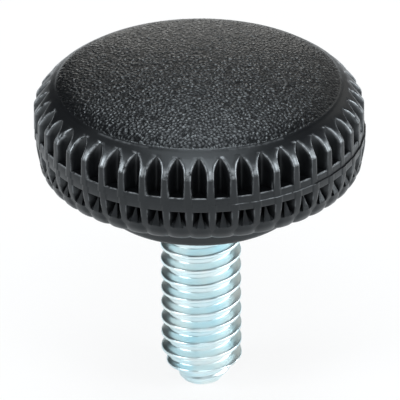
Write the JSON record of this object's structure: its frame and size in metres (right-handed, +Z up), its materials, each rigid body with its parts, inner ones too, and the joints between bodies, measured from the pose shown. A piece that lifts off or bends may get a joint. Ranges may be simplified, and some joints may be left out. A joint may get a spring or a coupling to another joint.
{
  "type": "knurled knob",
  "caption": "Round moulded clamping knob with a low domed grained top, a ribbed grip rim and a threaded steel stud.",
  "frame": {"origin": "middle of the seat face, the flat underside of the boss", "axes": "+Z up the stud's axis towards the crown, so the stud points down; +X and +Y across the head, with -Y towards the viewer and the middle of a grip pocket on -Y"},
  "size_m": [0.0254, 0.0254, 0.027],
  "materials": {
    "head_plastic": "black moulded thermoplastic, leather-grained on the crown and satin on the grip",
    "plated_steel": "bright clear zinc plate with a pale blue cast"
  },
  "bodies": {
    "root": {"knob_head": "head_plastic", "threaded_stud": "plated_steel"}
  },
  "joints": []
}
